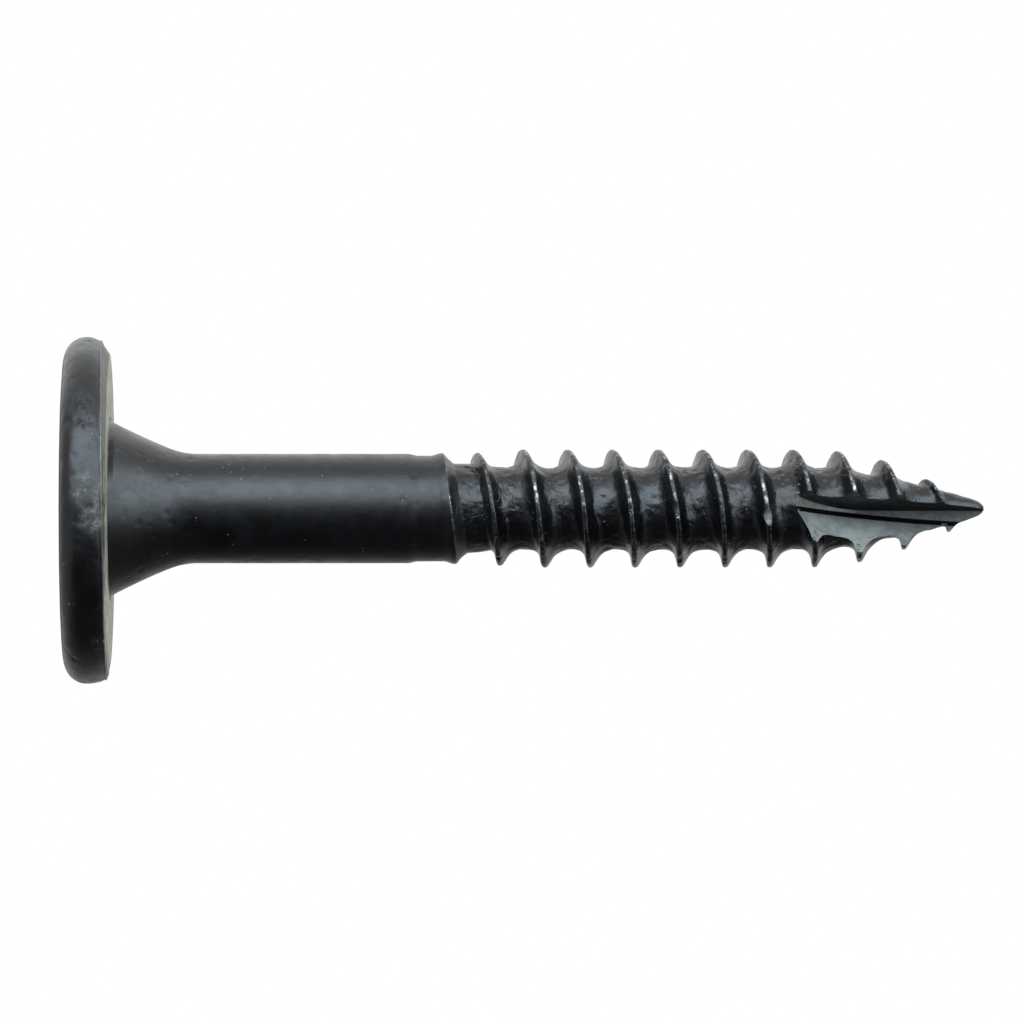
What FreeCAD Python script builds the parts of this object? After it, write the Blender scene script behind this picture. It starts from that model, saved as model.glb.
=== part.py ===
import FreeCAD, Part
import math
import os

# Wood screw with a flat disc head, all sizes in mm.
# The axis is Z with the head up. The seat face under the head lies on z = 0.

# Disc head
HEAD_R = 10.16
HEAD_T = 2.64
RIM_R = 1.32
SEAT_R = 9.09
FLASH_R = 9.76
FLASH_Z = 0.46
FLASH_W = 0.07
CREASE_W = 0.22
CREASE_D = 0.09

# Six-lobe drive recess
LOBE_ACROSS = 6.75
LOBE_ROOT = 4.85
LOBE_TIP_R = 0.55
RECESS_WALL = 3.84
RECESS_FLOOR = 0.70
RECESS_LEAD = 0.25

# Flared neck: (radius, z) on the two arcs from the seat face to the shank.
# The disc keeps a short root of the flare, down to ROOT_Z.
ROOT_Z = -0.30
NECK_TOP = (5.10, 0.0)
NECK_MID = (4.22, -1.75)
NECK_LOW = (3.47, -3.50)
NECK_BLEND = (3.247, -4.30)
NECK_Z = -5.10

# Plain shank and the shoulder where the thread starts
SHANK_R = 3.175
SHANK_Z = -17.2
WAIST_R = 3.07
WAIST_Z0 = -17.7
WAIST_Z1 = -18.8
SHOULDER_R = 3.22
SHOULDER_Z = -19.3
SHOULDER_W = 0.16
RUNOUT_Z = -20.15

# Thread
CORE_R = 2.375
MAJOR_R = 3.43
PITCH = 2.617
CREST_Z = -29.07
CORE_Z = -39.0
FIRST_Z = -20.25
SPLIT_Z = -38.885
END_Z = -49.25
FOOT_STRIPS = 4
STEPS_PER_TURN = 12

# Thread section: (distance from the crest line along the axis, height) at full height.
# Positive distance is toward the head, where the flank is steep.
SECTION = [
    (0.70, 0.0), (0.39, 0.16), (0.19, 0.36), (0.10, 0.94), (0.04, 1.055),
    (-0.10, 1.055), (-0.22, 0.93), (-0.48, 0.53), (-0.76, 0.18), (-1.12, 0.0),
]

# Tapered point: a straight taper with a soft start and a round end
TIP_Z = -50.8
TAPER_Z = -41.9
TAPER_SLOPE = 0.19
TAPER_SOFT = 0.4
OGIVE_Z = -47.2
OGIVE_SLOPE = 0.075
TIP_POWER = 30
OUTLINE_STEPS = 36

# Thread height over z: the run-in below the shoulder, the full thread and the tapered point
THREAD_HEIGHTS = [
    (-20.25, 0.10), (-20.75, 0.80), (-23.8, 1.055), (-44.6, 1.055), (-46.06, 0.83),
    (-47.3, 0.42), (-48.8, 0.40), (-49.25, 0.05),
]

# Slash notch: a side-and-face cutter fed along the point, slightly askew to the axis
CUTTER_R = 5.9
CUTTER_Z = -44.3
NOTCH_WALL_X = 0.15
NOTCH_EDGE_X = -0.28
WALL_DRAFT = 0.36
NOTCH_START_Z = -39.9
NOTCH_TILT = 4.3
BEVEL_SLOPE = 0.90
BEVEL_RUN = 5.0
NOTCH_RUN = 9.0

ORIGIN = FreeCAD.Vector(0, 0, 0)
Z_AXIS = FreeCAD.Vector(0, 0, 1)


def at(radius, z):
    return FreeCAD.Vector(radius, 0, z)


def line(a, b):
    return Part.makeLine(at(*a), at(*b))


def arc(a, b, c):
    return Part.Arc(at(*a), at(*b), at(*c)).toShape()


def turned(edges):
    face = Part.Face(Part.Wire(edges))
    return face.revolve(ORIGIN, Z_AXIS, 360)


def rim_point(degrees):
    angle = math.radians(degrees)
    centre_r = HEAD_R - RIM_R
    centre_z = HEAD_T - RIM_R
    return (centre_r + RIM_R * math.cos(angle), centre_z + RIM_R * math.sin(angle))


def lobed_prism(z_low, height):
    tip_centre = LOBE_ACROSS / 2 - LOBE_TIP_R
    root = LOBE_ROOT / 2
    half = math.radians(30)
    flat = tip_centre * math.cos(half)
    root_r = (tip_centre ** 2 + root ** 2 - 2 * root * flat - LOBE_TIP_R ** 2)
    root_r = root_r / (2 * (LOBE_TIP_R + flat - root))
    root_centre = root + root_r
    dx = root_centre * math.cos(half) - tip_centre
    dy = root_centre * math.sin(half)
    share = LOBE_TIP_R / (LOBE_TIP_R + root_r)
    touch = FreeCAD.Vector(tip_centre + dx * share, dy * share, z_low)
    mirrored = FreeCAD.Vector(touch.x, -touch.y, z_low)
    tip = FreeCAD.Vector(LOBE_ACROSS / 2, 0, z_low)
    valley = FreeCAD.Vector(root * math.cos(half), root * math.sin(half), z_low)
    edges = []
    for lobe in range(6):
        spin = FreeCAD.Rotation(Z_AXIS, 60 * lobe)
        after = FreeCAD.Rotation(Z_AXIS, 60 * (lobe + 1))
        start = spin.multVec(mirrored)
        end = spin.multVec(touch)
        edges.append(Part.Arc(start, spin.multVec(tip), end).toShape())
        edges.append(Part.Arc(end, spin.multVec(valley), after.multVec(mirrored)).toShape())
    face = Part.Face(Part.Wire(edges))
    return face.extrude(FreeCAD.Vector(0, 0, height))


def recess_tool():
    floor_z = HEAD_T - RECESS_WALL
    prism = lobed_prism(floor_z - RECESS_FLOOR, RECESS_WALL + RECESS_FLOOR)
    tip_r = LOBE_ACROSS / 2
    bottom = Part.makeCone(0, tip_r, RECESS_FLOOR, at(0, floor_z - RECESS_FLOOR))
    body = Part.makeCylinder(tip_r, RECESS_WALL, at(0, floor_z))
    lead_r = tip_r + RECESS_LEAD
    lead = Part.makeCone(lead_r - 2 * RECESS_LEAD, lead_r, 2 * RECESS_LEAD, at(0, HEAD_T - 2 * RECESS_LEAD))
    return prism.common(bottom.fuse(body)).fuse(lead)


def flare_root():
    # Where the upper flare arc crosses ROOT_Z, and a point halfway along that stretch
    flare = arc(NECK_TOP, NECK_MID, NECK_LOW)
    length = flare.Length * ROOT_Z / NECK_LOW[1]
    for _ in range(8):
        point = flare.valueAt(flare.getParameterByLength(length))
        length = length * ROOT_Z / point.z
    middle = flare.valueAt(flare.getParameterByLength(length / 2))
    return (middle.x, middle.z), (point.x, ROOT_Z)


def head_disc(recess):
    root_mid, root = flare_root()
    crease_r = NECK_TOP[0] + CREASE_W
    mid_r = NECK_TOP[0] + CREASE_W / 2
    flash_low = FLASH_Z - FLASH_W / 2
    flash_high = FLASH_Z + FLASH_W / 2
    rim_low = (FLASH_R, FLASH_Z + FLASH_W)
    rim_mid = (10.03, 0.85)
    outer = rim_point(0)
    edges = [
        line((0, ROOT_Z), root),
        arc(root, root_mid, NECK_TOP),
        line(NECK_TOP, (mid_r, CREASE_D)),
        line((mid_r, CREASE_D), (crease_r, 0)),
        line((crease_r, 0), (SEAT_R, 0)),
        line((SEAT_R, 0), (FLASH_R - FLASH_W, flash_low - FLASH_W)),
        line((FLASH_R - FLASH_W, flash_low - FLASH_W), (FLASH_R + FLASH_W, flash_low)),
        line((FLASH_R + FLASH_W, flash_low), (FLASH_R + FLASH_W, flash_high)),
        line((FLASH_R + FLASH_W, flash_high), rim_low),
        arc(rim_low, rim_mid, outer),
        arc(outer, rim_point(45), rim_point(90)),
        line(rim_point(90), (0, HEAD_T)),
        line((0, HEAD_T), (0, ROOT_Z)),
    ]
    return turned(edges).cut(recess)


def neck_cone(recess):
    _, root = flare_root()
    shank_top = (SHANK_R, NECK_Z)
    edges = [
        arc(root, NECK_MID, NECK_LOW),
        arc(NECK_LOW, NECK_BLEND, shank_top),
        line(shank_top, (0, NECK_Z)),
        line((0, NECK_Z), (0, ROOT_Z)),
        line((0, ROOT_Z), root),
    ]
    return turned(edges).cut(recess)


def plain_shank():
    outline = [
        (0, NECK_Z), (SHANK_R, NECK_Z), (SHANK_R, SHANK_Z), (WAIST_R, WAIST_Z0),
        (WAIST_R, WAIST_Z1), (SHOULDER_R, SHOULDER_Z + SHOULDER_W / 2),
        (SHOULDER_R, SHOULDER_Z - SHOULDER_W / 2), (CORE_R, RUNOUT_Z), (0, RUNOUT_Z),
        (0, NECK_Z),
    ]
    edges = [line(a, b) for a, b in zip(outline, outline[1:])]
    return turned(edges)


def thread_core():
    return Part.makeCylinder(CORE_R, RUNOUT_Z - CORE_Z, at(0, CORE_Z))


def eased(depth):
    # Rises like depth once depth is positive, with a soft start
    return TAPER_SOFT * math.log(1 + math.exp(depth / TAPER_SOFT))


def core_radius(z):
    depth = TAPER_Z - z
    share = max(0.0, depth / (TAPER_Z - TIP_Z))
    rounding = math.sqrt(max(0.0, 1 - share ** TIP_POWER))
    return (CORE_R - TAPER_SLOPE * eased(depth) - OGIVE_SLOPE * eased(OGIVE_Z - z)) * rounding


def point_blank():
    # The outline's points crowd together toward the round end
    points = []
    for step in range(OUTLINE_STEPS):
        share = math.sin(math.pi / 2 * step / OUTLINE_STEPS)
        z = CORE_Z + (TIP_Z - CORE_Z) * share
        points.append(at(core_radius(z), z))
    points.append(at(0, TIP_Z))
    outline = Part.BSplineCurve()
    outline.interpolate(points)
    shoulder = (points[0].x, CORE_Z)
    edges = [line((0, CORE_Z), shoulder), outline.toShape(), line((0, TIP_Z), (0, CORE_Z))]
    return turned(edges)


def thread_height(z):
    for (z0, height0), (z1, height1) in zip(THREAD_HEIGHTS, THREAD_HEIGHTS[1:]):
        if z >= z1:
            return height0 + (height1 - height0) * (z0 - z) / (z0 - z1)
    return THREAD_HEIGHTS[-1][1]


def crest_angle(z):
    return 2 * math.pi * (z - CREST_Z) / PITCH


def ridge_section():
    # The foot runs along the core surface in a few strips, so that it follows the taper
    tip_foot = SECTION[-1][0]
    width = SECTION[0][0] - tip_foot
    strips = [(tip_foot + width * i / FOOT_STRIPS, 0.0) for i in range(1, FOOT_STRIPS)]
    return SECTION + strips


def helical_curve(z_from, z_to, along, height):
    steps = round((z_from - z_to) / PITCH * STEPS_PER_TURN)
    points = []
    for step in range(steps + 1):
        crest_z = z_from + (z_to - z_from) * step / steps
        scale = thread_height(crest_z) / (MAJOR_R - CORE_R)
        z = crest_z + along * scale
        foot = core_radius(crest_z if height > 0 else z)
        radius = foot + height * scale
        angle = crest_angle(crest_z)
        points.append(FreeCAD.Vector(radius * math.cos(angle), radius * math.sin(angle), z))
    curve = Part.BSplineCurve()
    curve.interpolate(Points=points, Parameters=[float(i) for i in range(steps + 1)])
    return curve


def ruled_face(curve, following):
    # Straight lines join the points with the same parameter on the two curves
    surface = Part.BSplineSurface()
    surface.buildFromPolesMultsKnots(
        [curve.getPoles(), following.getPoles()],
        [2, 2], curve.getMultiplicities(),
        [0.0, 1.0], curve.getKnots(),
        False, False, 1, curve.Degree,
    )
    return surface.toShape()


def ridge(z_from, z_to):
    # The thread runs down from z_from to z_to as ruled faces between helical edges
    curves = [helical_curve(z_from, z_to, along, height) for along, height in ridge_section()]
    faces = []
    for index, curve in enumerate(curves):
        faces.append(ruled_face(curve, curves[(index + 1) % len(curves)]))
    for ends in ([curve.StartPoint for curve in curves], [curve.EndPoint for curve in curves]):
        faces.append(Part.Face(Part.makePolygon(ends + [ends[0]])))
    shell = Part.makeShell(faces)
    shell.sewShape()
    solid = Part.makeSolid(shell)
    if solid.Volume < 0:
        solid.reverse()
    return solid


def notch_tool():
    # Section of the cutter across its axis: wall, flat floor, bevel.
    # The floor lies on the screw axis and the cutter stands on the -Y side.
    tail_x = NOTCH_EDGE_X - BEVEL_RUN
    corners = [
        FreeCAD.Vector(NOTCH_WALL_X + WALL_DRAFT * CUTTER_R, -CUTTER_R, CUTTER_Z),
        FreeCAD.Vector(NOTCH_WALL_X, 0, CUTTER_Z),
        FreeCAD.Vector(NOTCH_EDGE_X, 0, CUTTER_Z),
        FreeCAD.Vector(tail_x, -BEVEL_SLOPE * BEVEL_RUN, CUTTER_Z),
        FreeCAD.Vector(tail_x, -CUTTER_R, CUTTER_Z),
    ]
    face = Part.Face(Part.makePolygon(corners + [corners[0]]))
    hub = FreeCAD.Vector(0, -CUTTER_R, CUTTER_Z)
    wheel = face.revolve(hub, FreeCAD.Vector(1, 0, 0), 360)
    trough = face.extrude(FreeCAD.Vector(0, 0, -NOTCH_RUN))
    tool = wheel.fuse(trough)
    tool.rotate(at(0, NOTCH_START_Z), FreeCAD.Vector(0, 1, 0), NOTCH_TILT)
    return tool


def build():
    recess = recess_tool()
    notch = notch_tool()
    tapered = ridge(SPLIT_Z, END_Z).cut(notch)
    runs = sorted(tapered.Solids, key=lambda run: -run.CenterOfMass.z)
    nodes = {
        "head_disc": head_disc(recess),
        "neck_cone": neck_cone(recess),
        "plain_shank": plain_shank(),
        "thread_core": thread_core(),
        "thread_ridge": ridge(FIRST_Z, SPLIT_Z),
        "slash_point": point_blank().cut(notch),
    }
    for number, run in enumerate(runs):
        nodes["point_thread_" + str(number + 1)] = run
    return nodes


os.makedirs("parts", exist_ok=True)
for name, shape in build().items():
    solid = shape.Solids[0]
    print(name, len(shape.Solids), solid.isValid(), round(solid.Volume, 3), solid.BoundBox)
    solid.exportStep("parts/" + name + ".step")
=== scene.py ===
import math

import bmesh
import bpy
from mathutils import Matrix, Vector, noise


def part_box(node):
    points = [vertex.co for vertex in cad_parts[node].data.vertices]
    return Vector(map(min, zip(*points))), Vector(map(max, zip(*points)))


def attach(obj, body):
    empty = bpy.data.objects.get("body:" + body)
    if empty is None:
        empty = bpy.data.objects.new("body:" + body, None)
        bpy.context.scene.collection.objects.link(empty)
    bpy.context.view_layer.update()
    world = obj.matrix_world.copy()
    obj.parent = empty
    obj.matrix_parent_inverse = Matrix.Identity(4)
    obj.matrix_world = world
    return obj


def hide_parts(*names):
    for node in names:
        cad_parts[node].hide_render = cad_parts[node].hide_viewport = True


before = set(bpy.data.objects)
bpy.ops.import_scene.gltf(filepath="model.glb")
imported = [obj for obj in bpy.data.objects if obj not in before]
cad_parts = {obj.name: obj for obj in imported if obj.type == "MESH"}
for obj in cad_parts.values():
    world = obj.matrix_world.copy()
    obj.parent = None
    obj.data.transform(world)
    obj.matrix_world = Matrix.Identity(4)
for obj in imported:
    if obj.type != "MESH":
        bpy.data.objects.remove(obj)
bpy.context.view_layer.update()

# Sizes are in millimetres. The screw's axis is Z, with the head up and the seat face on z = 0.
MM = 0.001
TURN = 2 * math.pi


def lowest(node):
    """The lowest corner of a CAD node in millimetres, to the nearest micron."""
    return [round(value / MM, 3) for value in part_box(node)[0]]


def highest(node):
    """The highest corner of a CAD node in millimetres, to the nearest micron."""
    return [round(value / MM, 3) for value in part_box(node)[1]]


# Head and drive recess
HEAD_R, _, HEAD_T = highest("head_disc")
ROOT_Z = lowest("head_disc")[2]
RIM_R = 1.32
FLASH_Z = 0.46
FLASH_DROP = 0.095
FLASH_LEAN_X = 0.145
FLASH_LEAN_Y = 0.18
HEAD_SHIFT = -0.10
SEAT_IN_R = 5.33
SEAT_OUT_R = 8.95
RIM_OUT_R = 10.045
RIM_PULL_IN = 0.22
RIM_PULL_TOP_Z = 1.32
LOBE_ACROSS = 6.75
LOBE_ROOT = 4.85
LOBE_TIP_R = 0.55
RECESS_WALL_Z = -1.20
RECESS_FLOOR_Z = -1.90
RECESS_LEAD = 0.25
LEAD_DEPTH = 0.36
HEAD_COLUMNS = 480

# Neck and shank
NECK_TOP_R = 5.10
NECK_LOW_R = 3.47
NECK_LOW_Z = -3.50
NECK_Z = lowest("neck_cone")[2]
NECK_SAG = 0.065
NECK_BLEND_R = 4.486
SHANK_R = 3.175
WAIST_R = 3.07
SHOULDER_R = highest("plain_shank")[0]
SHOULDER_LIMIT_R = 3.235
SHOULDER_Z = -19.68
SHOULDER_LEAN = 0.38
PLAIN_END_Z = -17.0
SHANK_END_Z = -21.3
CORE_TOP_Z = -19.75
RUNOUT_Z = lowest("plain_shank")[2]

# Thread
CORE_R = highest("thread_core")[0]
MAJOR_R = 3.43
PITCH = 2.617
CREST_Z = -29.11
CORE_Z = lowest("thread_core")[2]
FIRST_Z = -19.91
SPLIT_Z = -38.885
END_Z = -49.25
FULL_HEIGHT = MAJOR_R - CORE_R
LOW_HEIGHT = 0.2
CHIP_SPOT = (-0.50, -3.55, -38.00)
CHIP_DEPTH = 0.24

# Point and notch
TIP_Z = lowest("slash_point")[2]
TAPER_Z = -41.9
TAPER_SLOPE = 0.19
TAPER_SOFT = 0.4
OGIVE_Z = -47.2
OGIVE_SLOPE = 0.075
TIP_POWER = 30
THIN_R = 1.2
CUTTER_R = 5.9
CUTTER_Z = -44.5
NOTCH_TOP_Z = -38.8
NOTCH_WALL_X = -0.12
WALL_DRAFT = 0.36
EDGE_Z = -41.25
EDGE_X = -0.29
EDGE_SLOPE = 0.125
EDGE_BEND = 0.0045
BEVEL_SLOPE = 0.90
FOOT_GROOVE_X = 0.24
FOOT_GROOVE_MID_X = 0.09
FOOT_GROOVE_DEPTH = 0.22
NOTCH_SIDE = 6.0
TIP_RUNS = 4
SMALLEST_SHELL = 40

# Painted sheen on the milled faces, which stands in for their reflection of the soft box. Toward the tip
# it fades on the bevel from the first height below, and on the notch's floor it falls to the floor's share
SHEEN_FADE_Z = -43.0
BEVEL_SHEEN_LOWEST_Z = -48.0
BEVEL_SHEEN_FADE = 0.6
FLOOR_BRIGHT_Z = -40.7
FLOOR_SHEEN_SHARE = 0.36
# The two tones of the painted sheen on the milled faces
FACET_SHEEN_DARK = (0.168, 0.178, 0.168, 1)
FACET_SHEEN_LIGHT = (0.262, 0.272, 0.258, 1)


def smooth(low, high, value):
    share = min(1.0, max(0.0, (value - low) / (high - low)))
    return share * share * (3 - 2 * share)


def rough(point, scale, seed):
    """Smooth noise from about -1 to 1 at a point in mm, with features of about the scale."""
    return noise.noise(Vector(point) / scale + Vector((seed, 2.3 * seed, 0.7 * seed)))


def pits(point, scale, seed, share):
    """0 on most of the surface and up to 1 in scattered round hollows."""
    cell = Vector(point) / scale + Vector((seed, 1.7 * seed, 3.1 * seed))
    distance = noise.voronoi(cell)[0][0]
    chosen = noise.cell(cell + Vector((9.1, 4.2, 7.7)))
    if chosen > share:
        return 0.0
    return 1 - smooth(0.10, 0.42, distance)


# Meshes -------------------------------------------------------------------------------------

def polar(radius, angle, z):
    """The point at a radius and an angle round the screw's axis."""
    return (radius * math.cos(angle), radius * math.sin(angle), z)


def angles(columns):
    """Even steps once round the axis, in radians."""
    return [TURN * column / columns for column in range(columns)]


def spaced(start, end, steps):
    """Even steps from start to end, with both of them included."""
    return [start + (end - start) * step / steps for step in range(steps + 1)]


def make_piece(name, vertices, faces, node, sharp_angle=40):
    mesh = bpy.data.meshes.new(name)
    mesh.from_pydata([Vector(v) * MM for v in vertices], [], faces)
    mesh.validate()
    builder = bmesh.new()
    builder.from_mesh(mesh)
    bmesh.ops.recalc_face_normals(builder, faces=builder.faces)
    builder.to_mesh(mesh)
    builder.free()
    piece = bpy.data.objects.new(name, mesh)
    bpy.context.scene.collection.objects.link(piece)
    finish_shading(piece, sharp_angle)
    if node:
        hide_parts(node)
        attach(piece, "root")
    return piece


def store(piece, name, values, domain="POINT"):
    """Keeps one number for each vertex or face, for a material to read."""
    piece.data.attributes.new(name, "FLOAT", domain).data.foreach_set("value", values)


def finish_shading(piece, sharp_angle):
    mesh = piece.data
    mesh.polygons.foreach_set("use_smooth", [True] * len(mesh.polygons))
    mesh.set_sharp_from_angle(angle=math.radians(sharp_angle))


def grid_faces(rows, columns, wrap_rows=False):
    """Four-sided faces between rings of vertices, also from the last ring to the first if wrapped."""
    faces = []
    for row in range(rows if wrap_rows else rows - 1):
        below = (row + 1) % rows
        for column in range(columns):
            right = (column + 1) % columns
            faces.append((row * columns + column, row * columns + right,
                          below * columns + right, below * columns + column))
    return faces


def closed_rings(start, rings, end):
    """A closed mesh from rings of vertices, with one centre point beyond each end of them."""
    columns = len(rings[0])
    vertices = [start]
    for ring in rings:
        vertices += ring
    vertices.append(end)
    faces = []
    last = 1 + (len(rings) - 1) * columns
    for column in range(columns):
        right = (column + 1) % columns
        faces.append((0, 1 + right, 1 + column))
        faces.append((len(vertices) - 1, last + column, last + right))
    for row in range(len(rings) - 1):
        top = 1 + row * columns
        for column in range(columns):
            right = (column + 1) % columns
            faces.append((top + column, top + right, top + columns + right, top + columns + column))
    return vertices, faces


def lathe(radius_at, heights, columns):
    """A closed solid round the axis: rings at the heights, with a flat cap at each end."""
    rings = []
    for z in heights:
        rings.append([polar(radius_at(angle, z), angle, z) for angle in angles(columns)])
    return closed_rings((0, 0, heights[0]), rings, (0, 0, heights[-1]))


# Head and neck ------------------------------------------------------------------------------

def lobe_radius(angle, offset=0.0):
    """Distance from the axis to the six-lobe outline, grown outward by offset."""
    tip_centre = LOBE_ACROSS / 2 - LOBE_TIP_R
    root = LOBE_ROOT / 2
    half = math.radians(30)
    flat = tip_centre * math.cos(half)
    valley_r = tip_centre ** 2 + root ** 2 - 2 * root * flat - LOBE_TIP_R ** 2
    valley_r = valley_r / (2 * (LOBE_TIP_R + flat - root))
    valley_centre = root + valley_r
    from_tip = abs((angle + half) % (2 * half) - half)
    touch_share = (LOBE_TIP_R + offset) / (LOBE_TIP_R + valley_r)
    touch_x = tip_centre + (valley_centre * math.cos(half) - tip_centre) * touch_share
    touch_y = valley_centre * math.sin(half) * touch_share
    if from_tip <= math.atan2(touch_y, touch_x):
        across = tip_centre * math.sin(from_tip)
        reach = math.sqrt((LOBE_TIP_R + offset) ** 2 - across ** 2)
        return tip_centre * math.cos(from_tip) + reach
    from_valley = half - from_tip
    across = valley_centre * math.sin(from_valley)
    return valley_centre * math.cos(from_valley) - math.sqrt((valley_r - offset) ** 2 - across ** 2)


def flare_radius(z):
    """The concave flare from the seat face to the shank."""
    if z >= NECK_LOW_Z:
        share = z / NECK_LOW_Z
        straight = NECK_TOP_R + (NECK_LOW_R - NECK_TOP_R) * share
        return straight - NECK_SAG * 4 * share * (1 - share)
    rise = max(0.0, z - NECK_Z)
    return SHANK_R + NECK_BLEND_R - math.sqrt(NECK_BLEND_R ** 2 - rise ** 2)


def head_profile():
    """(radius, z, dent weight) from the flare root by the crease, seat, flash and rim to the top."""
    outline = [(flare_radius(z), z, 0.3) for z in spaced(ROOT_Z, 0.0, 3)]
    outline += [(5.14, 0.05, 0.2), (5.20, 0.075, 0.1), (5.27, 0.05, 0.2), (SEAT_IN_R, 0.0, 0.3)]
    outline += [(radius, 0.0, 0.5) for radius in spaced(SEAT_IN_R, SEAT_OUT_R, 14)[1:]]
    outline += [(9.03, 0.012, 0.6), (9.10, 0.045, 0.6), (9.30, 0.165, 0.7), (9.52, 0.29, 0.7),
                (9.70, 0.375, 0.4), (9.77, 0.40, 0.1), (9.83, 0.43, 0.0), (9.85, 0.46, 0.0),
                (9.85, 0.48, 0.0), (9.83, 0.505, 0.1), (9.835, 0.53, 0.2)]
    for step in range(10):
        z = 0.56 + 0.076 * step
        below = (RIM_PULL_TOP_Z - z) / (RIM_PULL_TOP_Z - 0.56)
        outline.append((RIM_OUT_R - RIM_PULL_IN * below ** 2.2, z, 0.4 + 0.6 * min(1.0, step / 3)))
    centre_r = RIM_OUT_R - RIM_R
    centre_z = HEAD_T - RIM_R
    for step in range(13):
        angle = math.radians(90 * step / 12)
        outline.append((centre_r + RIM_R * math.cos(angle), centre_z + RIM_R * math.sin(angle), 1.0))
    return outline


def off_axis(radius):
    """How far a ring of the head is moved sideways: not at all by the neck, fully at the rim."""
    return HEAD_SHIFT * smooth(5.4, 9.0, radius)


def outer_ring(radius, z, weight):
    """A ring of the seat or rim, dented by its weight, with the flash line leaning and ragged."""
    ring = []
    for angle in angles(HEAD_COLUMNS):
        flat = Vector(polar(radius, angle, z))
        wave = rough(flat, 3.2, 1.0) * 0.016 + rough(flat, 1.1, 2.0) * 0.007
        r = radius + weight * wave
        lift = weight * rough(flat, 2.4, 5.0) * 0.01
        flash_lean = FLASH_LEAN_X * math.cos(angle) + FLASH_LEAN_Y * math.sin(angle) - FLASH_DROP
        lift += flash_lean * smooth(0.0, 0.36, z) * smooth(1.3, 0.6, z) * (radius > 9)
        if 0.3 < z < 0.6 and radius > 9.5:
            r += 0.028 * rough(polar(12, angle, 0), 0.9, 3.0) * (1 - weight)
            lift += 0.022 * rough(polar(12, angle, 4), 1.6, 4.0)
        if weight >= 1.0:
            r -= 0.05 * pits(flat, 0.9, 6.0, 0.22)
        x, y, z_here = polar(min(r, HEAD_R + HEAD_SHIFT - 0.004), angle, z + lift)
        ring.append((x + off_axis(radius), y, min(z_here, HEAD_T - 0.003)))
    return ring


def top_ring(share, outer_r):
    """A ring of the flat top, from the rim (share 0) to the recess (share 1)."""
    ring = []
    for angle in angles(HEAD_COLUMNS):
        edge = lobe_radius(angle, RECESS_LEAD) + 0.02
        radius = outer_r + (edge - outer_r) * share
        x, y, z = polar(radius, angle, HEAD_T)
        dip = 0.02 * pits((x, y, z), 1.3, 8.0, 0.12) - 0.008 * rough((x, y, z), 2.2, 7.0)
        ring.append((x + off_axis(radius), y, HEAD_T - 0.012 - dip))
    return ring


def recess_rings():
    """The rounded lead-in of the recess, then its wall down to the bottom of the disc."""
    lead = [(RECESS_LEAD, 0.0), (RECESS_LEAD * 0.75, 0.03), (0.10, 0.17), (0.03, 0.26), (0.0, LEAD_DEPTH)]
    rings = []
    for offset, depth in lead:
        z = HEAD_T - depth - 0.012
        rings.append([polar(lobe_radius(angle, offset), angle, z) for angle in angles(HEAD_COLUMNS)])
    for z in spaced(HEAD_T - LEAD_DEPTH, ROOT_Z, 8)[1:]:
        ring = []
        for angle in angles(HEAD_COLUMNS):
            radius = lobe_radius(angle) + 0.008 * rough(polar(3, angle, z), 0.5, 9.0)
            ring.append(polar(radius, angle, z))
        rings.append(ring)
    return rings


def make_head():
    profile = head_profile()
    top_steps = 17
    rings = [outer_ring(*row) for row in profile]
    rings += [top_ring(step / top_steps, profile[-1][0]) for step in range(1, top_steps)]
    rings += recess_rings()
    vertices = [vertex for ring in rings for vertex in ring]
    faces = grid_faces(len(rings), HEAD_COLUMNS, wrap_rows=True)
    piece = make_piece("head", vertices, faces, "head_disc", 35)
    on_flash = []
    for row in range(len(rings)):
        is_flash = row < len(profile) and abs(profile[row][1] - FLASH_Z) < 0.035 and profile[row][2] == 0
        on_flash += [float(is_flash)] * HEAD_COLUMNS
    store(piece, "crest", on_flash)


def flare_ring(z):
    """A ring of the neck's outside, with faint waves and pits below the disc."""
    ring = []
    for angle in angles(HEAD_COLUMNS):
        radius = flare_radius(z)
        flat = polar(radius, angle, z)
        inside = smooth(ROOT_Z, ROOT_Z - 0.4, z) if z < ROOT_Z else 0.0
        radius += inside * (0.012 * rough(flat, 1.8, 11.0) - 0.02 * pits(flat, 0.8, 12.0, 0.10))
        ring.append(polar(radius, angle, z))
    return ring


def make_neck():
    """The recess's floor and lower wall inside, and the flare outside."""
    floor_steps = 3
    inner = list(zip(spaced(0.0, 1.0, floor_steps), spaced(RECESS_FLOOR_Z, RECESS_WALL_Z, floor_steps)))
    inner += [(1.0, z) for z in spaced(RECESS_WALL_Z, ROOT_Z, 4)[1:]]
    rings = []
    for share, z in inner[1:]:
        rings.append([polar(lobe_radius(angle) * share, angle, z) for angle in angles(HEAD_COLUMNS)])
    rings += [flare_ring(z) for z in spaced(ROOT_Z, NECK_Z, 56)]
    vertices, faces = closed_rings((0, 0, RECESS_FLOOR_Z), rings, (0, 0, NECK_Z))
    make_piece("neck", vertices, faces, "neck_cone", 35)


# Shank and core -----------------------------------------------------------------------------

def shoulder_line(angle):
    """Height of the shoulder's crest, which leans with the first turn of the thread."""
    return SHOULDER_Z + SHOULDER_LEAN * math.cos(angle)


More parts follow.
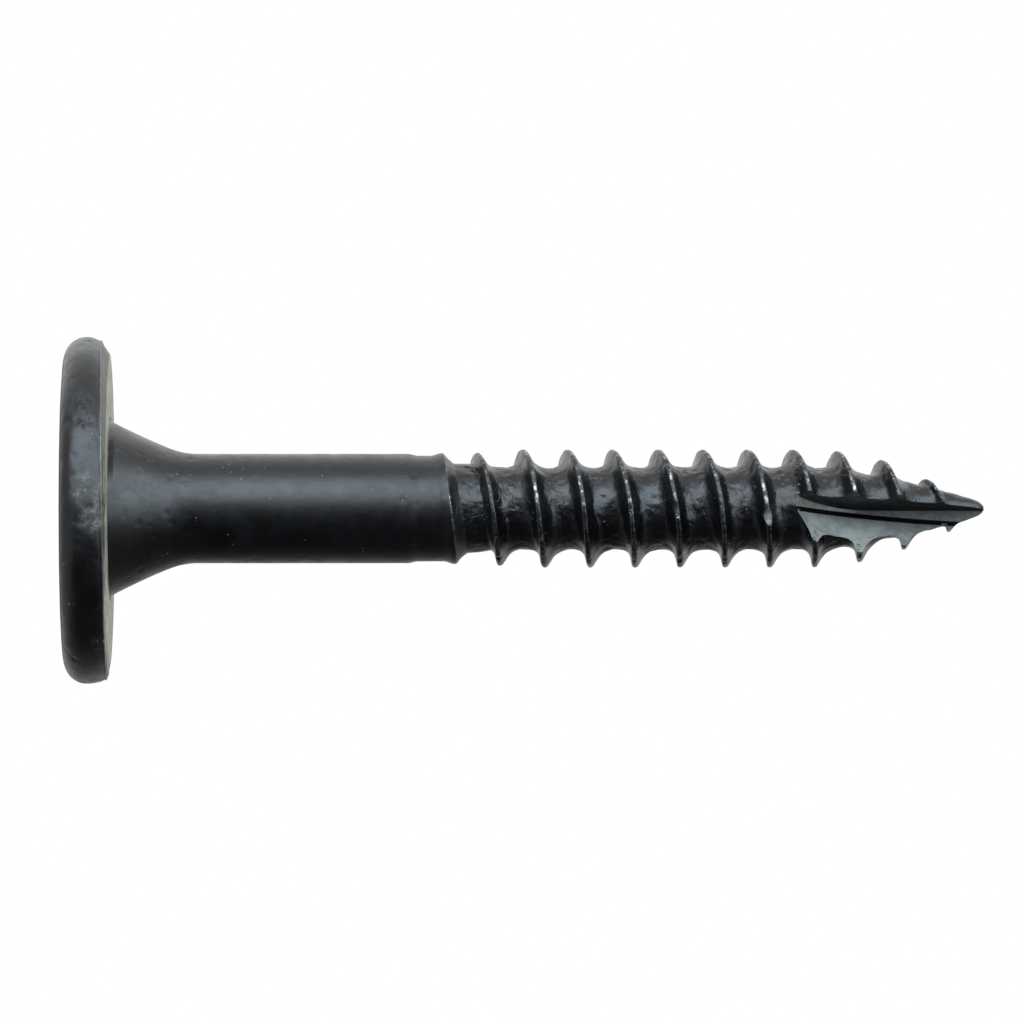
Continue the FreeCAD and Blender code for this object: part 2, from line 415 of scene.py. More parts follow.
def shank_radius(angle, z):
    """Plain down to PLAIN_END_Z, then a slight waist, the shoulder and the start of the groove."""
    flat = polar(SHANK_R, angle, z)
    above = z - shoulder_line(angle)
    past_plain = PLAIN_END_Z - z
    radius = SHANK_R + (WAIST_R - SHANK_R) * smooth(0.2, 0.9, past_plain)
    radius += (SHOULDER_R - WAIST_R) * smooth(0.75, 0.10, above) * (past_plain > 0.5)
    if above < 0:
        groove = CORE_R + 0.05
        radius = groove + (SHOULDER_R - groove) * max(0.0, 1 + above / 1.05) ** 1.7
    radius += 0.006 * rough(flat, 2.5, 21.0) + 0.0025 * rough(flat, 0.5, 22.0)
    radius -= 0.012 * pits(flat, 0.8, 23.0, 0.07)
    if z < -19.0:
        radius -= 0.6 * worn(flat) * smooth(0.0, -0.4, above)
        radius -= 0.03 * pits(flat, 0.6, 24.0, 0.4) * smooth(0.25, 0.0, abs(above))
    return min(radius, SHANK_R if past_plain < 0 else SHOULDER_LIMIT_R)


def make_shank():
    heights = spaced(NECK_Z, PLAIN_END_Z, 70) + spaced(PLAIN_END_Z, SHANK_END_Z, 130)[1:]
    vertices, faces = lathe(shank_radius, heights, 360)
    piece = make_piece("shank", vertices, faces, "plain_shank", 60)
    edge_wear = []
    for x, y, z in vertices:
        above = z - shoulder_line(math.atan2(y, x))
        handled = smooth(-0.35, 0.1, x / SHANK_R) * smooth(0.9, 0.6, x / SHANK_R)
        edge_wear.append(smooth(0.10, 0.02, abs(above + 0.03)) * (0.35 + 0.65 * handled))
    store(piece, "crest", edge_wear)


def eased(depth):
    """Rises like depth once depth is positive, with a soft start."""
    return TAPER_SOFT * math.log(1 + math.exp(depth / TAPER_SOFT))


def core_radius(z):
    depth = TAPER_Z - z
    share = max(0.0, depth / (TAPER_Z - TIP_Z))
    rounding = math.sqrt(max(0.0, 1 - share ** TIP_POWER))
    return (CORE_R - TAPER_SLOPE * eased(depth) - OGIVE_SLOPE * eased(OGIVE_Z - z)) * rounding


# The largest fold that the rolling left: it starts in the first groove and runs up the ridge
FOLD_LINE = [(2.31, -0.86, -20.60), (2.12, -1.26, -21.20), (1.98, -1.50, -21.50), (1.56, -2.38, -21.86)]
FOLD_LOW_Z = -22.3
FOLD_HIGH_Z = -20.3
FOLD_DEPTH = 0.09
FOLD_SPOTS = [Vector(start).lerp(Vector(end), step / 4)
              for start, end in zip(FOLD_LINE, FOLD_LINE[1:]) for step in range(4)]


def fold(point):
    """1 in the fold's bottom, falling to 0 at its sides."""
    return max(smooth(0.22, 0.05, (Vector(point) - spot).length) for spot in FOLD_SPOTS)


def worn(point):
    """How far the rolled surface stands below the ideal one, at a point in the thread's root."""
    drop = 0.050 * rough(point, 1.1, 31.0) + 0.026 * rough(point, 0.42, 32.0)
    drop += 0.006 * rough(point, 0.16, 33.0)
    drop += 0.045 * pits(point, 0.85, 34.0, 0.30)
    drop += 0.02 * pits(point, 0.42, 35.0, 0.25)
    if FOLD_LOW_Z < point[2] < FOLD_HIGH_Z:
        drop += FOLD_DEPTH * fold(point)
    return drop


def root_radius(angle, z):
    """Radius of the groove's bottom, which is shallower in the first turns."""
    radius = core_radius(z)
    filling = 0.22 * smooth(-23.5, RUNOUT_Z, z)
    return radius + filling - worn(polar(radius, angle, z)) * min(1.0, radius / THIN_R)


def make_core():
    vertices, faces = lathe(root_radius, spaced(CORE_TOP_Z, CORE_Z, 330), 300)
    make_piece("core", vertices, faces, "thread_core", 50)


def make_point_blank():
    """The whole tapered point before the notch is cut, with its rings closer near the tip."""
    steps = 220
    heights = [CORE_Z + (TIP_Z - CORE_Z) * math.sin(math.pi / 2 * i / steps) for i in range(steps)]
    vertices, faces = lathe(root_radius, heights, 240)
    return make_piece("point_blank", vertices, faces, None, 50)


# Thread -------------------------------------------------------------------------------------

# Thread section at full height: (distance from the crest line toward the head, height)
SECTION = [
    (1.04, -0.03), (0.94, -0.002), (0.82, 0.015), (0.70, 0.037), (0.56, 0.08), (0.42, 0.155), (0.30, 0.27),
    (0.245, 0.385), (0.20, 0.53), (0.172, 0.66), (0.148, 0.82), (0.122, 0.94), (0.095, 1.01),
    (0.048, 1.045), (0.0, 1.055), (-0.07, 1.052), (-0.13, 1.035), (-0.18, 0.99), (-0.235, 0.92),
    (-0.315, 0.79), (-0.405, 0.64), (-0.50, 0.495), (-0.61, 0.36), (-0.74, 0.24), (-0.88, 0.15),
    (-1.02, 0.085), (-1.16, 0.042), (-1.30, 0.016), (-1.41, -0.002), (-1.51, -0.03),
]

# Thread height over z: (z, height)
THREAD_HEIGHTS = [
    (-19.91, 0.83), (-21.6, 0.86), (-23.8, 1.055), (-44.3, 1.055), (-44.9, 1.0), (-46.06, 0.83),
    (-47.3, 0.42), (-48.8, 0.40), (-49.25, 0.05),
]


def thread_height(z):
    if z >= THREAD_HEIGHTS[0][0]:
        return THREAD_HEIGHTS[0][1]
    for (z0, height0), (z1, height1) in zip(THREAD_HEIGHTS, THREAD_HEIGHTS[1:]):
        if z >= z1:
            return height0 + (height1 - height0) * (z0 - z) / (z0 - z1)
    return THREAD_HEIGHTS[-1][1]


def thread_mesh(z_from, z_to):
    """A closed ridge along the helix, its foot sunk a little below the core surface."""
    per_turn = 300
    steps = round((z_from - z_to) / PITCH * per_turn)
    vertices = []
    for step in range(steps + 1):
        crest_z = z_from + (z_to - z_from) * step / steps
        angle = TURN * (crest_z - CREST_Z) / PITCH
        scale = thread_height(crest_z) / FULL_HEIGHT
        around = Vector(polar(1, angle, 0))
        crest_point = around * MAJOR_R + Vector((0, 0, crest_z))
        wander = 0.035 * rough(crest_point, 2.6, 41.0) + 0.012 * rough(crest_point, 0.7, 42.0)
        wander -= (0.13 + 0.14 * smooth(-27, -31, crest_z)) * max(0.0, -around.y) ** 1.5
        chip = pits(crest_point, 1.15, 43.0, 0.30) * 0.07 + pits(crest_point, 0.5, 44.0, 0.3) * 0.03
        burr = 0.02 * rough(crest_point, 0.35, 45.0)
        chip += CHIP_DEPTH * smooth(0.62, 0.36, (crest_point - Vector(CHIP_SPOT)).length)
        core = core_radius(crest_z)
        for along, height in SECTION:
            share = max(0.0, height / FULL_HEIGHT)
            lift = height * (scale if height > 0 else 1.0)
            z = crest_z + along * min(1.0, 0.25 + 0.75 * scale) + wander * share
            base = core_radius(z)
            radius = base + (core - base) * share + lift
            spot = around * radius + Vector((0, 0, z))
            radius -= worn(spot) * math.sqrt(1 - share) * min(1.0, base / THIN_R)
            if height > 0:
                radius -= 0.014 * rough(spot, 0.5, 46.0) * share * (1 - share) * 4
                radius -= (chip + burr) * smooth(0.80, 1.0, share)
                z += 0.018 * rough(spot, 0.6, 47.0) * smooth(0.1, 0.5, share)
            vertices.append((radius * around.x, radius * around.y, z))
    columns = len(SECTION)
    faces = grid_faces(steps + 1, columns)
    faces.append(tuple(range(columns)))
    faces.append(tuple(reversed(range(steps * columns, (steps + 1) * columns))))
    return vertices, faces


def mark_crests(piece):
    """Stores how near each vertex is to the crest of the thread, where the coating is worn."""
    values = []
    for vertex in piece.data.vertices:
        x, y, z = vertex.co / MM
        height = math.hypot(x, y) - core_radius(z)
        values.append(smooth(0.968, 1.0, height / max(LOW_HEIGHT, thread_height(z))))
    store(piece, "crest", values)


def mark_chip_sheen(piece):
    """Stores where the flat of the chip on the crest gets painted sheen like the milled faces."""
    spot = Vector(CHIP_SPOT)
    values = [smooth(0.54, 0.38, (vertex.co / MM - spot).length) for vertex in piece.data.vertices]
    store(piece, "milled_sheen", values)


def make_thread():
    vertices, faces = thread_mesh(FIRST_Z, SPLIT_Z)
    piece = make_piece("thread", vertices, faces, "thread_ridge", 50)
    mark_crests(piece)
    mark_chip_sheen(piece)


# The notch ---------------------------------------------------------------------------------

def notch_floor(z):
    """Y of the notch's floor: the round cutter's arc, then the screw's own mid plane."""
    above = max(0.0, z - CUTTER_Z)
    return math.sqrt(max(0.0, CUTTER_R ** 2 - above ** 2)) - CUTTER_R


def notch_edge(z):
    """X of the line where the floor meets the bevel."""
    run = EDGE_Z - z
    return EDGE_X - EDGE_SLOPE * run + EDGE_BEND * run ** 2


def make_cutter():
    """The space that the slash cutter sweeps: round at its start, then straight to the tip.

    Its section runs round the wall, the floor, the groove at the bevel's foot and the bevel.
    """
    past_tip = TIP_Z - 1.0
    heights = spaced(NOTCH_TOP_Z, CUTTER_Z, 60) + spaced(CUTTER_Z, past_tip, 40)[1:]
    vertices = []
    for z in heights:
        floor_y = notch_floor(z)
        wall_x = NOTCH_WALL_X - WALL_DRAFT * floor_y
        edge_x = min(notch_edge(z), wall_x - 0.3)
        section = [
            (wall_x + WALL_DRAFT * (NOTCH_SIDE + floor_y), -NOTCH_SIDE),
            (wall_x + 0.03, floor_y - 0.08), (wall_x, floor_y - 0.02), (wall_x - 0.03, floor_y),
            (edge_x + FOOT_GROOVE_X, floor_y), (edge_x + FOOT_GROOVE_MID_X, floor_y + FOOT_GROOVE_DEPTH),
            (edge_x - 0.04, floor_y - 0.04 * BEVEL_SLOPE),
            (edge_x - (NOTCH_SIDE + floor_y) / BEVEL_SLOPE, -NOTCH_SIDE),
        ]
        vertices += [(x, y, z) for x, y in section]
    columns = len(section)
    faces = grid_faces(len(heights), columns)
    faces.append(tuple(range(columns)))
    faces.append(tuple(range((len(heights) - 1) * columns, len(heights) * columns)))
    return make_piece("cutter", vertices, faces, None)


def mark_milled_sheen(piece):
    """Stores the painted sheen of the faces that the cutter left: the bevel, and less of the notch's
    floor.
    """
    values = []
    for face in piece.data.polygons:
        x, y, z = face.center / MM
        floor_y = notch_floor(z)
        edge_x = notch_edge(z)
        on_bevel = abs(y - floor_y + BEVEL_SLOPE * (edge_x - x)) < 0.05 and x < edge_x + 0.03
        on_floor = abs(y - floor_y) < 0.02 and face.normal.y < -0.4 and x > edge_x + 0.2
        level = 0.0
        if on_bevel and face.normal.x > 0.3:
            level = 1 - BEVEL_SHEEN_FADE * smooth(SHEEN_FADE_Z, BEVEL_SHEEN_LOWEST_Z, z)
        elif on_floor:
            level = FLOOR_SHEEN_SHARE + (1 - FLOOR_SHEEN_SHARE) * smooth(SHEEN_FADE_Z, FLOOR_BRIGHT_Z, z)
        values.append(level if z < NOTCH_TOP_Z else 0.0)
    store(piece, "milled_sheen", values, "FACE")


def cut(piece, cutter):
    """Returns the mesh that is left of piece once the cutter's space is taken away."""
    modifier = piece.modifiers.new("notch", "BOOLEAN")
    modifier.object = cutter
    modifier.operation = "DIFFERENCE"
    modifier.solver = "EXACT"
    graph = bpy.context.evaluated_depsgraph_get()
    mesh = bpy.data.meshes.new_from_object(piece.evaluated_get(graph))
    piece.modifiers.remove(modifier)
    return mesh


def islands(mesh):
    """The separate closed shells of a mesh, from the head end to the tip, without crumbs."""
    builder = bmesh.new()
    builder.from_mesh(mesh)
    unseen = set(builder.verts)
    groups = []
    while unseen:
        stack = [unseen.pop()]
        group = set(stack)
        while stack:
            vertex = stack.pop()
            for edge in vertex.link_edges:
                other = edge.other_vert(vertex)
                if other in unseen:
                    unseen.remove(other)
                    group.add(other)
                    stack.append(other)
        groups.append(group)
    groups = [group for group in groups if len(group) > SMALLEST_SHELL]
    groups.sort(key=lambda group: -sum(v.co.z for v in group) / len(group))
    result = []
    for group in groups:
        order = {vertex: index for index, vertex in enumerate(sorted(group, key=lambda v: v.index))}
        faces = [tuple(order[v] for v in face.verts) for face in builder.faces if face.verts[0] in order]
        result.append(([v.co / MM for v in order], faces))
    builder.free()
    return result


def make_point():
    """The point and the runs of thread on it, all cut by the same notch."""
    cutter = make_cutter()
    blank = make_point_blank()
    shells = islands(cut(blank, cutter))
    mark_milled_sheen(make_piece("point", *shells[0], "slash_point", 32))
    vertices, faces = thread_mesh(SPLIT_Z, END_Z)
    spiral = make_piece("spiral", vertices, faces, None)
    runs = islands(cut(spiral, cutter))
    for number, run in enumerate(runs[:TIP_RUNS], 1):
        piece = make_piece("tip_thread_%d" % number, *run, "point_thread_%d" % number, 40)
        mark_crests(piece)
        mark_milled_sheen(piece)
    for helper in (cutter, blank, spiral):
        bpy.data.objects.remove(helper, do_unlink=True)


# Materials ----------------------------------------------------------------------------------

class Nodes:
    """Short calls that add shader nodes to one material."""

    def __init__(self, name):
        self.material = bpy.data.materials.new(name)
        self.material.use_nodes = True
        self.tree = self.material.node_tree
        self.shader = self.tree.nodes["Principled BSDF"]
        self.place = self.tree.nodes.new("ShaderNodeTexCoord").outputs["Object"]

    def link(self, source, target):
        self.tree.links.new(source, target)

    def noise(self, scale, detail, roughness=0.6, distortion=0.0, stretch=None):
        node = self.tree.nodes.new("ShaderNodeTexNoise")
        node.inputs["Scale"].default_value = scale
        node.inputs["Detail"].default_value = detail
        node.inputs["Roughness"].default_value = roughness
        node.inputs["Distortion"].default_value = distortion
        self.link(self.mapped(stretch), node.inputs["Vector"])
        return node.outputs["Fac"]

    def cells(self, scale):
        node = self.tree.nodes.new("ShaderNodeTexVoronoi")
        node.inputs["Scale"].default_value = scale
        self.link(self.place, node.inputs["Vector"])
        return node.outputs["Distance"]

    def mapped(self, stretch):
        if stretch is None:
            return self.place
        node = self.tree.nodes.new("ShaderNodeMapping")
        node.inputs["Scale"].default_value = stretch
        self.link(self.place, node.inputs["Vector"])
        return node.outputs["Vector"]

    def ramp(self, source, low, high, first=0.0, last=1.0):
        node = self.tree.nodes.new("ShaderNodeMapRange")
        node.interpolation_type = "SMOOTHSTEP"
        node.inputs["From Min"].default_value = low
        node.inputs["From Max"].default_value = high
        node.inputs["To Min"].default_value = first
        node.inputs["To Max"].default_value = last
        self.link(source, node.inputs["Value"])
        return node.outputs["Result"]

    def math(self, operation, first, second):
        node = self.tree.nodes.new("ShaderNodeMath")
        node.operation = operation
        for value, socket in ((first, node.inputs[0]), (second, node.inputs[1])):
            if isinstance(value, (int, float)):
                socket.default_value = value
            else:
                self.link(value, socket)
        return node.outputs[0]

    def mix(self, share, first, second):
        node = self.tree.nodes.new("ShaderNodeMix")
        node.data_type = "RGBA"
        self.link(share, node.inputs["Factor"])
        for value, socket in ((first, node.inputs["A"]), (second, node.inputs["B"])):
            if isinstance(value, tuple):
                socket.default_value = value
            else:
                self.link(value, socket)
        return node.outputs["Result"]

    def facing(self):
        """The surface's own direction in the part's frame."""
        return self.tree.nodes.new("ShaderNodeTexCoord").outputs["Normal"]

    def from_axis(self):
        """Distance from the screw's axis in metres."""
        node = self.tree.nodes.new("ShaderNodeVectorMath")
        node.operation = "LENGTH"
        self.link(self.mapped((1.0, 1.0, 0.0)), node.inputs[0])
        return node.outputs["Value"]

    def along(self, vector, direction):
        """How far a vector reaches along a direction."""
        node = self.tree.nodes.new("ShaderNodeVectorMath")
        node.operation = "DOT_PRODUCT"
        self.link(vector, node.inputs[0])
        node.inputs[1].default_value = direction
        return node.outputs["Value"]

    def near(self, places):
        """1 at each place in millimetres, falling to 0 at its reach."""
        total = None
        for centre, reach in places:
            node = self.tree.nodes.new("ShaderNodeVectorMath")
            node.operation = "DISTANCE"
            self.link(self.place, node.inputs[0])
            node.inputs[1].default_value = [value * MM for value in centre]
            level = self.ramp(node.outputs["Value"], reach * MM, 0.3 * reach * MM)
            total = level if total is None else self.math("MAXIMUM", total, level)
        return total

    def stored(self, name):
        node = self.tree.nodes.new("ShaderNodeAttribute")
        node.attribute_name = name
        return node.outputs["Fac"]

    def bump(self, height, strength, distance, after=None):
        node = self.tree.nodes.new("ShaderNodeBump")
        node.inputs["Strength"].default_value = strength
        node.inputs["Distance"].default_value = distance
        self.link(height, node.inputs["Height"])
        if after is not None:
            self.link(after, node.inputs["Normal"])
        return node.outputs["Normal"]


COAT_DARK = (0.0016, 0.0019, 0.0026, 1)
COAT_LIGHT = (0.0042, 0.0048, 0.0060, 1)
DUST = (0.16, 0.165, 0.145, 1)
# Tan of the dust and painted sheen on the head's faces that look down
SEAT_DUST_AND_SHEEN = (0.60, 0.585, 0.41, 1)
WORN_STEEL = (0.30, 0.31, 0.32, 1)
# Painted shade for the pits, then for the largest fold and how far it reaches
PIT_SHADE = (0.0006, 0.0006, 0.0007, 1)
FOLD_SHADE = (0.0004, 0.0004, 0.0004, 1)
FOLD_SHADE_REACH = 0.28
# How far below the seat the crease's painted shade lies
CREASE_SHADE_DEPTH = 0.16
GROOVE_R = 2.5
FLANK_R = 2.9

# Places in millimetres as (centre, reach): handled dusty spots, the crease below the seat painted with
# shade, the rim where dust and painted highlight on the flash line are strongest, and pits painted with
# shade
DUSTY_SPOTS = [((0.9, -4.6, -1.5), 2.3), ((1.0, -9.9, 0.75), 1.5), ((-0.6, -9.9, 0.55), 1.2),
               ((9.3, -3.6, 1.4), 1.6)]
CREASE_SHADE_SPOTS = [((3.0, -4.1, -0.15), 2.0)]
FLASH_DUST_AND_HIGHLIGHT_SPOTS = [((-7.0, -6.9, 0.42), 4.2)]
PITTED_SPOTS = [((6.0, -8.15, 1.35), 1.1), ((5.0, -8.8, 1.2), 0.7)]


def dust_and_sheen(n, film_strength, head_dust_and_sheen):
    """(cover, colour) of the dust and painted sheen: specks, a thin film, handled spots, and on the head
    the faces that look down and the flash line, pale from dust and painted sheen.
    """
    downward = n.along(n.facing(), (0, 0, -1))
    specks = n.math("MULTIPLY", n.ramp(n.cells(2400), 0.15, 0.08), n.ramp(n.noise(700, 2), 0.55, 0.62))
    film = n.math("MULTIPLY", n.ramp(n.noise(330, 6, 0.7, 0.6), 0.56, 0.80), film_strength)
    blotches = n.ramp(n.noise(1500, 6, 0.8), 0.46, 0.72, 0.08, 0.60)
    spots = n.math("MULTIPLY", n.near(DUSTY_SPOTS), blotches)
    if head_dust_and_sheen:
        # Faces that look down are painted pale, partly as dust and partly as painted reflection of the
        # backdrop; the flash line gets dust and painted highlight
        seat_noise = n.ramp(n.noise(800, 6, 0.8), 0.36, 0.62, 0.22, 0.90)
        seat_dust_and_sheen = n.math("MULTIPLY", n.ramp(downward, 0.62, 0.86), seat_noise)
        flash_noise = n.ramp(n.noise(1100, 5, 0.8), 0.38, 0.58, 0.15, 0.85)
        flash_line_patches = n.math("MULTIPLY", flash_noise, n.stored("crest"))
        flash_dust_and_highlight = n.math("MULTIPLY", flash_line_patches, n.math("MAXIMUM", n.near(FLASH_DUST_AND_HIGHLIGHT_SPOTS), 0.35))
        spots = n.math("MAXIMUM", n.math("MULTIPLY", spots, 2.6), n.math("MAXIMUM", seat_dust_and_sheen, flash_dust_and_highlight))
    cover = n.math("MAXIMUM", n.math("MULTIPLY", specks, 0.8), n.math("MAXIMUM", film, spots))
    # The tan of dust and painted sheen goes on faces that look straight down and round the flash line's
    # spots
    tan_dust_and_sheen = n.math("MAXIMUM", n.ramp(downward, 0.975, 0.998), n.near(FLASH_DUST_AND_HIGHLIGHT_SPOTS))
    return cover, n.mix(tan_dust_and_sheen, DUST, SEAT_DUST_AND_SHEEN)


def pit_and_crease_shade(n):
    """Painted shade: the pitted place on the rim and a dark line in the crease between the head and the
    neck.
    """
    painted_shade = n.math("MULTIPLY", n.near(PITTED_SPOTS), n.ramp(n.noise(2600, 4, 0.6), 0.49, 0.54))
    # Painted shade along the crease just below the seat, where the neck meets the head
    from_crease = n.math("ABSOLUTE", n.math("ADD", n.along(n.place, (0, 0, 1)), CREASE_SHADE_DEPTH * MM), 0.0)
    crease_shade = n.math("MULTIPLY", n.ramp(from_crease, 0.00020, 0.00010), n.near(CREASE_SHADE_SPOTS))
    crease_shade = n.math("MULTIPLY", crease_shade, n.ramp(n.noise(1800, 4, 0.6), 0.38, 0.48))
    return n.math("MAXIMUM", painted_shade, crease_shade)


def rolling_folds(n):
    """Thin folds that the rolling dies left, away from the milled faces."""
    crack = n.math("ABSOLUTE", n.math("SUBTRACT", n.noise(620, 3, 0.6, 0.9, (1.0, 1.0, 1.5)), 0.5), 0.0)
    folds = n.math("MULTIPLY", n.ramp(crack, 0.026, 0.008), n.ramp(n.noise(480, 2), 0.49, 0.58))
    return n.math("MULTIPLY", folds, n.math("SUBTRACT", 1.0, n.stored("milled_sheen")))


def relief(n, grain, layers, calm, sunk):
    """The surface's bumps, fine to coarse, then its pits. Calm is 1 where the bumps are full."""
    fine = n.bump(n.noise(5200, 3, 0.6), 0.25 * grain, 0.00002)
    striations = n.math("SUBTRACT", n.noise(1000, 4, 0.65, 0.4, (1.0, 1.0, layers)), 0.5)
    lined = n.bump(n.math("MULTIPLY", striations, calm), 0.20 * grain, 0.00004, fine)
    blows = n.math("SUBTRACT", n.noise(850, 3, 0.45, 0.5, (1.0, 1.0, 1.3)), 0.5)
    hammered = n.bump(n.math("MULTIPLY", blows, calm), 0.80 * grain, 0.00019 * grain, lined)
    pitted = n.bump(n.ramp(n.cells(1500), 0.05, 0.30), 0.12 * grain, 0.00003, hammered)
    return n.bump(n.math("SUBTRACT", 1.0, sunk), 0.6, 0.00005, pitted)


def coating(name, roughness, wear, film, grain, layers, rolled=False, head_dust_and_sheen=False, gaps=(0.49, 0.60)):
    """Satin black coating on one kind of surface.

    wear is how bare its crests are and gaps where their wear breaks up, film the thin dust,
    grain the depth of the bumps and layers how fine they are along the axis. A rolled surface
    has folds, the largest painted with shade, and may have milled faces painted with sheen. On the
    head, dust and painted sheen gather on the faces that look down and along the flash line. Pits
    and the crease below the seat are painted with shade.
    """
    n = Nodes(name)
    cover, dust_and_sheen_colour = dust_and_sheen(n, film, head_dust_and_sheen)
    painted_shade = pit_and_crease_shade(n)
    sunk = painted_shade
    calm = 1.0
    colour = n.mix(n.ramp(n.noise(420, 5, 0.6), 0.35, 0.68), COAT_DARK, COAT_LIGHT)
    if rolled:
        # Painted sheen: the milled faces are lightened to stand in for the soft box's reflection
        facet_sheen = n.mix(n.ramp(n.noise(1500, 5, 0.7), 0.3, 0.7), FACET_SHEEN_DARK, FACET_SHEEN_LIGHT)
        colour = n.mix(n.stored("milled_sheen"), colour, facet_sheen)
    colour = n.mix(cover, colour, dust_and_sheen_colour)
    # Painted shade in the pits and in the crease below the seat
    colour = n.mix(painted_shade, colour, PIT_SHADE)
    if rolled:
        # Painted shade in the largest fold
        largest_fold_shade = n.near([(spot, FOLD_SHADE_REACH) for spot in FOLD_SPOTS])
        colour = n.mix(largest_fold_shade, colour, FOLD_SHADE)
        sunk = n.math("MAXIMUM", n.math("MAXIMUM", painted_shade, rolling_folds(n)), largest_fold_shade)
        calm = n.ramp(n.from_axis(), GROOVE_R * MM, FLANK_R * MM, 1.0, 0.25)
    broken = n.ramp(n.noise(2600, 5, 0.75), *gaps)
    bare = n.math("MULTIPLY", n.math("MULTIPLY", n.stored("crest"), broken), wear)
    n.link(n.mix(bare, colour, WORN_STEEL), n.shader.inputs["Base Color"])
    n.link(n.ramp(bare, 0.0, 0.5), n.shader.inputs["Metallic"])
    spread = n.ramp(n.noise(900, 5, 0.65), 0.3, 0.7, roughness - 0.05, roughness + 0.08)
    spread = n.math("ADD", spread, n.math("MULTIPLY", n.math("MAXIMUM", cover, painted_shade), 0.35))
    if head_dust_and_sheen:
        spread = n.math("ADD", spread, n.ramp(n.along(n.facing(), (0, 0, 1)), 0.90, 0.99, 0.0, 0.40))
    n.link(n.math("SUBTRACT", spread, n.math("MULTIPLY", bare, 0.12)), n.shader.inputs["Roughness"])
    n.link(relief(n, grain, layers, calm, sunk), n.shader.inputs["Normal"])
    return n.material


def dress():
    satin = coating("satin_coating", 0.34, 0.7, 0.06, 0.30, 0.3)
    rim = coating("rim_coating", 0.34, 0.4, 0.10, 0.55, 0.3, head_dust_and_sheen=True, gaps=(0.30, 0.56))
    thread = coating("rolled_coating", 0.31, 0.85, 0.03, 1.0, 4.0, rolled=True)
    point = coating("milled_coating", 0.31, 0.0, 0.03, 0.7, 3.0, rolled=True)
    choice = {"head": rim, "neck": satin, "shank": satin, "point": point}
    for name in PIECES:
        materials = bpy.data.objects[name].data.materials
        materials.clear()
        materials.append(choice.get(name, thread))


# Stage ---------------------------------------------------------------------------------------

CAMERA_AIM = Vector((-0.0002, 0.0, -0.0233))
CAMERA_DISTANCE = 0.342
CAMERA_LEAN = math.radians(2.1)
CAMERA_LENS = 207.0


def add_camera():
    data = bpy.data.cameras.new("camera")
    data.lens = CAMERA_LENS
    data.sensor_width = 36
    data.clip_start = 0.01
    camera = bpy.data.objects.new("camera", data)
    back = Vector((0, -math.cos(CAMERA_LEAN), math.sin(CAMERA_LEAN)))
    up = Vector((1, 0, 0))
    right = up.cross(back)
    turn = Matrix((right, up, back)).transposed().to_4x4()
    camera.matrix_world = Matrix.Translation(CAMERA_AIM + back * CAMERA_DISTANCE) @ turn
    bpy.context.scene.collection.objects.link(camera)
    bpy.context.scene.camera = camera


# Light that comes from each side, by the angle round the screw in degrees: 0 is from the
# camera's side, 90 from the top of its view, 180 from behind and -90 from the view's bottom.
LIGHT_SCALE = 6.0
LIGHT_RING = [
    (-180, 1.0), (-158, 0.60), (-137, 0.32), (-118, 0.17), (-100, 0.08), (-78, 0.035), (-40, 0.03),
    (-18, 0.07), (-4, 0.20), (8, 0.62), (20, 2.7), (32, 4.9), (46, 5.6), (58, 4.4), (67, 2.2),
    (76, 1.0), (90, 0.85), (106, 1.1), (124, 1.4), (142, 1.45), (180, 1.1),
]

# The same for light that comes from the tip's side, where the soft box reaches lower
LIGHT_TIPWARD = [
    (-180, 1.0), (-158, 0.60), (-137, 0.36), (-118, 0.24), (-90, 0.14), (-60, 0.18), (-42, 0.36),
    (-29, 0.62), (-15, 1.7), (0, 3.1), (17, 4.7), (35, 5.2), (52, 4.9), (75, 2.2), (104, 1.3),
    (130, 1.35), (180, 1.0),
]
LIGHT_ENDS = (0.085, 0.085, 0.082, 1)


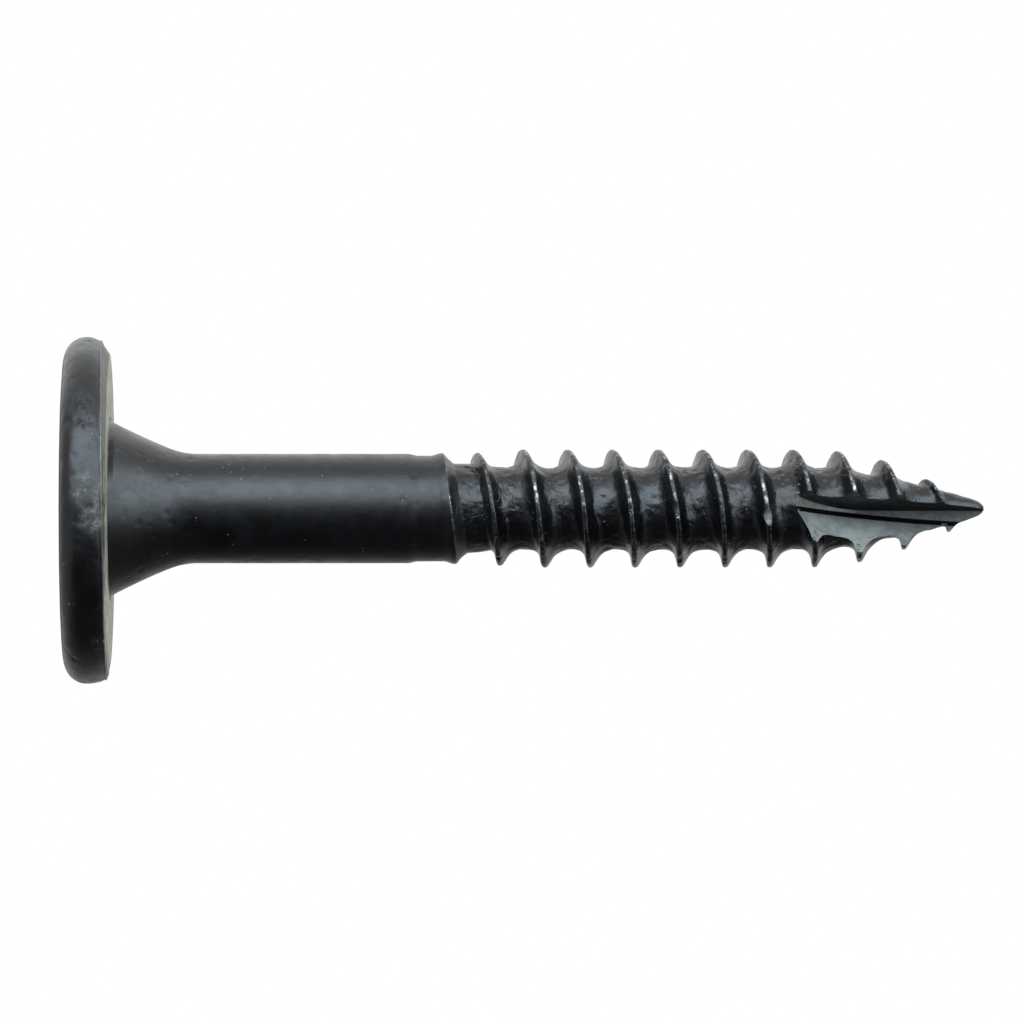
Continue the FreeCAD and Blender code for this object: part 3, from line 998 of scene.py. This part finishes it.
def add_world():
    """White to the camera. As light it is a soft box above the front, white behind and dim below."""
    world = bpy.data.worlds.new("studio")
    bpy.context.scene.world = world
    world.use_nodes = True
    nodes = world.node_tree.nodes
    links = world.node_tree.links
    nodes.clear()

    def math_node(operation, first, second):
        node = nodes.new("ShaderNodeMath")
        node.operation = operation
        for value, socket in ((first, node.inputs[0]), (second, node.inputs[1])):
            if isinstance(value, (int, float)):
                socket.default_value = value
            else:
                links.new(value, socket)
        return node.outputs[0]

    place = nodes.new("ShaderNodeTexCoord")
    parts = nodes.new("ShaderNodeSeparateXYZ")
    links.new(place.outputs["Generated"], parts.inputs[0])
    front = math_node("MULTIPLY", parts.outputs["Y"], -1.0)
    angle = math_node("ARCTAN2", parts.outputs["X"], front)
    share = math_node("ADD", math_node("DIVIDE", angle, TURN), 0.5)

    def ring_colour(levels):
        ring = nodes.new("ShaderNodeValToRGB")
        links.new(share, ring.inputs["Fac"])
        stops = ring.color_ramp.elements
        while len(stops) < len(levels):
            stops.new(0.5)
        for stop, (degrees, level) in zip(stops, levels):
            stop.position = (degrees + 180) / 360
            cool = smooth(1.0, 4.0, level)
            tint = (1 - 0.16 * cool, 1 - 0.01 * cool, 1 + 0.12 * cool)
            stop.color = [level / LIGHT_SCALE * channel for channel in tint] + [1]
        return ring.outputs["Color"]

    def mixed(factor, first, second):
        blend = nodes.new("ShaderNodeMix")
        blend.data_type = "RGBA"
        links.new(factor, blend.inputs["Factor"])
        links.new(first, blend.inputs["A"])
        if isinstance(second, tuple):
            blend.inputs["B"].default_value = second
        else:
            links.new(second, blend.inputs["B"])
        return blend.outputs["Result"]

    def faded(value, start, end):
        fade = nodes.new("ShaderNodeMapRange")
        fade.interpolation_type = "SMOOTHSTEP"
        fade.inputs["From Min"].default_value = start
        fade.inputs["From Max"].default_value = end
        links.new(value, fade.inputs["Value"])
        return fade.outputs["Result"]

    below = math_node("MULTIPLY", parts.outputs["Z"], -1.0)
    ends = math_node("MAXIMUM", faded(parts.outputs["Z"], 0.55, 0.92), faded(below, 0.86, 0.985))
    sides = mixed(faded(below, 0.45, 0.75), ring_colour(LIGHT_RING), ring_colour(LIGHT_TIPWARD))
    everywhere = mixed(ends, sides, LIGHT_ENDS)
    glow = nodes.new("ShaderNodeBackground")
    links.new(everywhere, glow.inputs["Color"])
    glow.inputs["Strength"].default_value = LIGHT_SCALE
    seen = nodes.new("ShaderNodeBackground")
    seen.inputs["Color"].default_value = (1, 1, 1, 1)
    path = nodes.new("ShaderNodeLightPath")
    choose = nodes.new("ShaderNodeMixShader")
    links.new(path.outputs["Is Camera Ray"], choose.inputs["Fac"])
    links.new(glow.outputs["Background"], choose.inputs[1])
    links.new(seen.outputs["Background"], choose.inputs[2])
    output = nodes.new("ShaderNodeOutputWorld")
    links.new(choose.outputs["Shader"], output.inputs["Surface"])


FLOOR_Z = -0.30
FLOOR_R = 0.6
FLOOR_DARK = (0.78, 0.78, 0.77, 1)
FLOOR_LIGHT = (0.82, 0.82, 0.81, 1)


def add_floor():
    mesh = bpy.data.meshes.new("floor")
    corners = [polar(FLOOR_R, angle, FLOOR_Z) for angle in angles(64)]
    mesh.from_pydata(corners, [], [tuple(range(len(corners)))])
    floor = bpy.data.objects.new("floor", mesh)
    bpy.context.scene.collection.objects.link(floor)
    floor.visible_glossy = False
    n = Nodes("pale_floor")
    n.link(n.mix(n.noise(8, 3), FLOOR_DARK, FLOOR_LIGHT), n.shader.inputs["Base Color"])
    n.shader.inputs["Roughness"].default_value = 0.9
    mesh.materials.append(n.material)


PIECES = ["head", "neck", "shank", "core", "thread", "point"]
PIECES += ["tip_thread_%d" % number for number in range(1, TIP_RUNS + 1)]

make_head()
make_neck()
make_shank()
make_core()
make_thread()
make_point()
dress()
add_camera()
add_world()
add_floor()
bpy.context.scene.view_settings.view_transform = "Standard"
